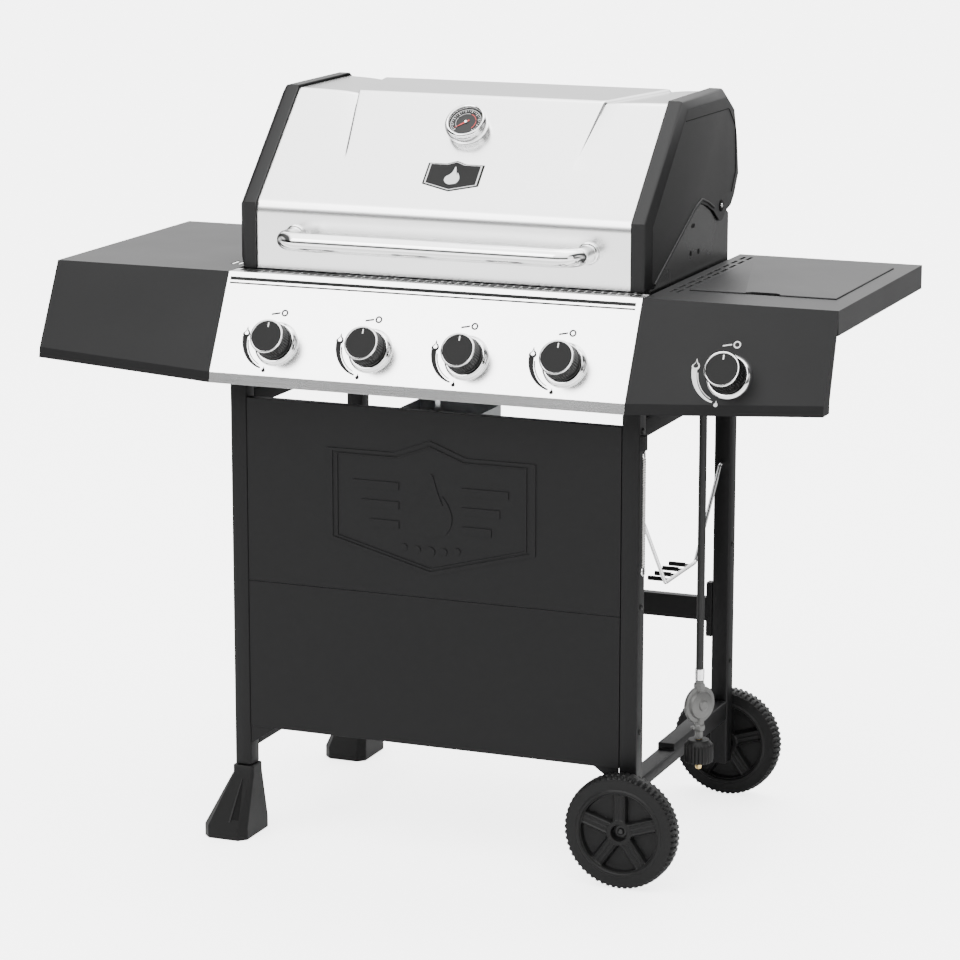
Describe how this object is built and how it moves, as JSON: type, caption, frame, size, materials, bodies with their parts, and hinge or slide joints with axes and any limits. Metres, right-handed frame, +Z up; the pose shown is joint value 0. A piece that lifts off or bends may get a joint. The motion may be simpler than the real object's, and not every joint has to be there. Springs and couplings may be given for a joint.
{
  "type": "gas barbecue grill",
  "caption": "Freestanding gas barbecue on a two-wheeled cart with a hinged hood, side shelves, a lidded side burner, gas knobs and a regulator hose.",
  "frame": {"origin": "floor level, under the middle of the overall box", "axes": "+X to the right of a person facing the control panel, +Y to the back, +Z up"},
  "size_m": [1.27, 0.6108, 1.1695],
  "materials": {
    "painted_frame": "fine satin charcoal powder coat",
    "shelf_paint": "satin charcoal powder coat on folded sheet",
    "brushed_steel": "stainless steel brushed along the width",
    "burner_steel": "plain stainless tube",
    "enamel": "vitreous black enamel",
    "cast_iron": "seasoned matt cast iron",
    "chrome_wire": "bright plated",
    "moulded_plastic": "black moulded, fine texture",
    "zinc_bolt": "die-cast zinc and zinc-plated steel, dull grey",
    "brass": "turned brass",
    "galvanised": "galvanised sheet",
    "hose_rubber": "smooth black rubber"
  },
  "bodies": {
    "cart": {"front_left_leg": "painted_frame", "front_right_leg": "painted_frame", "rear_left_leg": "painted_frame", "rear_right_leg": "painted_frame", "left_top_rail": "painted_frame", "right_top_rail": "painted_frame", "left_lower_rail": "painted_frame", "right_lower_rail": "painted_frame", "rear_brace": "painted_frame", "upper_front_panel": "painted_frame", "lower_front_panel": "painted_frame", "left_fascia": "painted_frame", "right_fascia": "painted_frame", "front_left_foot": "moulded_plastic", "rear_left_foot": "moulded_plastic", "front_axle_bolt": "zinc_bolt", "rear_axle_bolt": "zinc_bolt", "control_panel": "brushed_steel", "left_shelf": "shelf_paint", "right_shelf": "shelf_paint", "firebox": "enamel", "flame_tamers": "enamel", "side_burner_bowl": "enamel", "gas_manifold": "zinc_bolt", "regulator": "zinc_bolt", "burner_1": "burner_steel", "burner_2": "burner_steel", "burner_3": "burner_steel", "burner_4": "burner_steel", "left_grate": "cast_iron", "right_grate": "cast_iron", "pan_support": "cast_iron", "warming_rack": "chrome_wire", "left_hinge_pin": "chrome_wire", "right_hinge_pin": "chrome_wire", "side_burner_head": "brass", "gas_hose": "hose_rubber"},
    "lid": {"lid_skin": "brushed_steel", "lid_handle": "brushed_steel", "left_lid_cap": "painted_frame", "right_lid_cap": "painted_frame", "thermometer": "chrome_wire"},
    "side_lid": {"side_burner_lid": "shelf_paint"},
    "tank_nut": {"tank_nut": "moulded_plastic"},
    "tank_wire": {"tank_wire": "chrome_wire"},
    "lighting_rod": {"lighting_rod": "chrome_wire"},
    "grease_tray": {"grease_tray": "galvanised", "grease_cup": "galvanised"},
    "knob_stem_1": {"knob_stem_1": "brass"},
    "knob_1": {"knob_1": "moulded_plastic"},
    "knob_stem_2": {"knob_stem_2": "brass"},
    "knob_2": {"knob_2": "moulded_plastic"},
    "knob_stem_3": {"knob_stem_3": "brass"},
    "knob_3": {"knob_3": "moulded_plastic"},
    "knob_stem_4": {"knob_stem_4": "brass"},
    "knob_4": {"knob_4": "moulded_plastic"},
    "knob_stem_5": {"knob_stem_5": "brass"},
    "knob_5": {"knob_5": "moulded_plastic"},
    "front_wheel": {"front_wheel": "moulded_plastic"},
    "rear_wheel": {"rear_wheel": "moulded_plastic"}
  },
  "joints": [
    {"name": "lid_hinge", "type": "hinge", "parent": "cart", "child": "lid", "pos_m": [0, 0.15942, 0.99], "axis": [-1, 0, 0], "range_deg": [0, 75]},
    {"name": "side_lid_hinge", "type": "hinge", "parent": "cart", "child": "side_lid", "pos_m": [0.491, 0.20142, 0.9055], "axis": [-1, 0, 0], "range_deg": [0, 100]},
    {"name": "knob_1_push", "type": "slide", "parent": "cart", "child": "knob_stem_1", "axis": [0, 0.8888, -0.4583], "range_m": [0, 0.004], "stiffness_N_per_m": 800, "springref_m": -0.002},
    {"name": "knob_1_turn", "type": "hinge", "parent": "knob_stem_1", "child": "knob_1", "pos_m": [-0.234, -0.25686, 0.802], "axis": [0, -0.8888, 0.4583], "range_deg": [0, 180]},
    {"name": "knob_2_push", "type": "slide", "parent": "cart", "child": "knob_stem_2", "axis": [0, 0.8888, -0.4583], "range_m": [0, 0.004], "stiffness_N_per_m": 800, "springref_m": -0.002},
    {"name": "knob_2_turn", "type": "hinge", "parent": "knob_stem_2", "child": "knob_2", "pos_m": [-0.078, -0.25686, 0.802], "axis": [0, -0.8888, 0.4583], "range_deg": [0, 180]},
    {"name": "knob_3_push", "type": "slide", "parent": "cart", "child": "knob_stem_3", "axis": [0, 0.8888, -0.4583], "range_m": [0, 0.004], "stiffness_N_per_m": 800, "springref_m": -0.002},
    {"name": "knob_3_turn", "type": "hinge", "parent": "knob_stem_3", "child": "knob_3", "pos_m": [0.078, -0.25686, 0.802], "axis": [0, -0.8888, 0.4583], "range_deg": [0, 180]},
    {"name": "knob_4_push", "type": "slide", "parent": "cart", "child": "knob_stem_4", "axis": [0, 0.8888, -0.4583], "range_m": [0, 0.004], "stiffness_N_per_m": 800, "springref_m": -0.002},
    {"name": "knob_4_turn", "type": "hinge", "parent": "knob_stem_4", "child": "knob_4", "pos_m": [0.234, -0.25686, 0.802], "axis": [0, -0.8888, 0.4583], "range_deg": [0, 180]},
    {"name": "knob_5_push", "type": "slide", "parent": "cart", "child": "knob_stem_5", "axis": [0, 0.8888, -0.4583], "range_m": [0, 0.004], "stiffness_N_per_m": 800, "springref_m": -0.002},
    {"name": "knob_5_turn", "type": "hinge", "parent": "knob_stem_5", "child": "knob_5", "pos_m": [0.488, -0.25686, 0.802], "axis": [0, -0.8888, 0.4583], "range_deg": [0, 180]},
    {"name": "front_wheel_spin", "type": "hinge", "parent": "cart", "child": "front_wheel", "pos_m": [0.322, -0.21458, 0.089], "axis": [0, 1, 0], "continuous": true},
    {"name": "rear_wheel_spin", "type": "hinge", "parent": "cart", "child": "rear_wheel", "pos_m": [0.322, 0.26242, 0.089], "axis": [0, 1, 0], "continuous": true},
    {"name": "grease_tray_slide", "type": "slide", "parent": "cart", "child": "grease_tray", "axis": [0, 1, 0], "range_m": [0, 0.25]},
    {"name": "tank_wire_swing", "type": "hinge", "parent": "cart", "child": "tank_wire", "pos_m": [0.323, 0.02342, 0.565], "axis": [0, 1, 0], "range_deg": [-20, 50]},
    {"name": "lighting_rod_swing", "type": "hinge", "parent": "cart", "child": "lighting_rod", "pos_m": [0.341, -0.20358, 0.664], "axis": [1, 0, 0], "range_deg": [-30, 30]},
    {"name": "tank_nut_turn", "type": "hinge", "parent": "cart", "child": "tank_nut", "pos_m": [0.4, -0.10658, 0.171], "axis": [0, 0, 1], "continuous": true}
  ]
}
